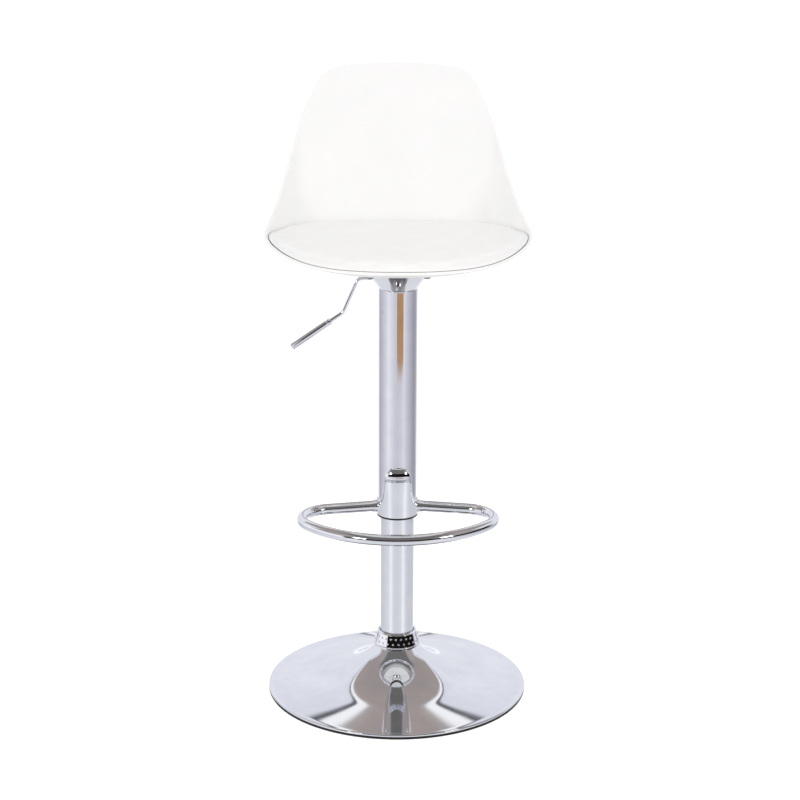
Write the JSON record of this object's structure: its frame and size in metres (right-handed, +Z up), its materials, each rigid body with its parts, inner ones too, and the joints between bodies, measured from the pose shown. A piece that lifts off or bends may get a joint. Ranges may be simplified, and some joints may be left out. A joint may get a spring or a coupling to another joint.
{
  "type": "adjustable swivel stool",
  "caption": "Gas-lift swivel bar stool: round trumpet base, telescopic column with a D-shaped footrest, lift lever and a padded bucket seat with a back.",
  "frame": {"origin": "on the floor, at the column's axis, under the middle of the round base", "axes": "+Z up along the column; the sitter faces -Y and the back is at +Y; +X is the sitter's left, the lift lever is at -X"},
  "size_m": [0.385, 0.3905, 0.913],
  "materials": {
    "chrome": "bright chrome plating on polished steel",
    "steel": "zinc-plated pressed and turned steel",
    "cast_iron": "black-dipped casting",
    "rubber": "moulded black rubber",
    "black_plastic": "moulded black polypropylene",
    "acetal": "natural acetal, machined",
    "black_paint": "satin black stoved paint",
    "shell_plastic": "injection-moulded white polypropylene, satin",
    "pad_leather": "white coated-fabric leather with a fine grain",
    "plywood": "plain birch plywood"
  },
  "bodies": {
    "stand": {"base_disc": "chrome", "floor_ring": "rubber", "base_ballast": "cast_iron", "hub_socket": "steel", "base_trim_ring": "chrome", "column_tube": "chrome", "column_end_plate": "steel", "guide_bush": "acetal", "bearing_washer_lower": "steel", "bearing_cage": "acetal"},
    "gas_rod": {"piston_rod": "chrome", "piston": "steel", "bearing_washer_upper": "steel", "rod_bumper": "rubber", "retaining_clip": "steel"},
    "carriage": {"gas_cylinder": "black_paint", "rod_seal": "black_plastic", "cover_sleeve": "chrome", "sleeve_bush": "black_plastic", "footrest_ring": "chrome", "footrest_saddle": "chrome", "seat_plate": "steel", "mechanism_cup": "chrome", "taper_socket": "steel", "lever_bracket": "steel", "lever_pivot_pin": "steel", "seat_shell": "shell_plastic", "seat_board": "plywood", "seat_pad": "pad_leather", "seat_screw_1": "steel", "seat_washer_1": "steel", "tee_nut_1": "steel", "seat_screw_2": "steel", "seat_washer_2": "steel", "tee_nut_2": "steel", "seat_screw_3": "steel", "seat_washer_3": "steel", "tee_nut_3": "steel", "seat_screw_4": "steel", "seat_washer_4": "steel", "tee_nut_4": "steel"},
    "lever": {"lever_block": "steel", "lever_rod": "chrome", "lever_grip": "chrome"},
    "button": {"release_button": "steel"}
  },
  "joints": [
    {"name": "seat_swivel", "type": "hinge", "parent": "stand", "child": "gas_rod", "pos_m": [0, 0, 0], "axis": [0, 0, 1], "continuous": true},
    {"name": "height_lift", "type": "slide", "parent": "gas_rod", "child": "carriage", "axis": [0, 0, 1], "range_m": [0, 0.21]},
    {"name": "lever_lift", "type": "hinge", "parent": "carriage", "child": "lever", "pos_m": [-0.0255, 0, 0.628], "axis": [0, 1, 0], "range_deg": [0, 6], "stiffness_Nm_per_rad": 0.5, "springref_deg": -5.73},
    {"name": "button_press", "type": "slide", "parent": "carriage", "child": "button", "axis": [0, 0, -1], "range_m": [0, 0.0027]}
  ],
  "couplings": [
    {"joint": "button_press", "follows": "lever_lift", "m_per_rad": 0.0255}
  ]
}
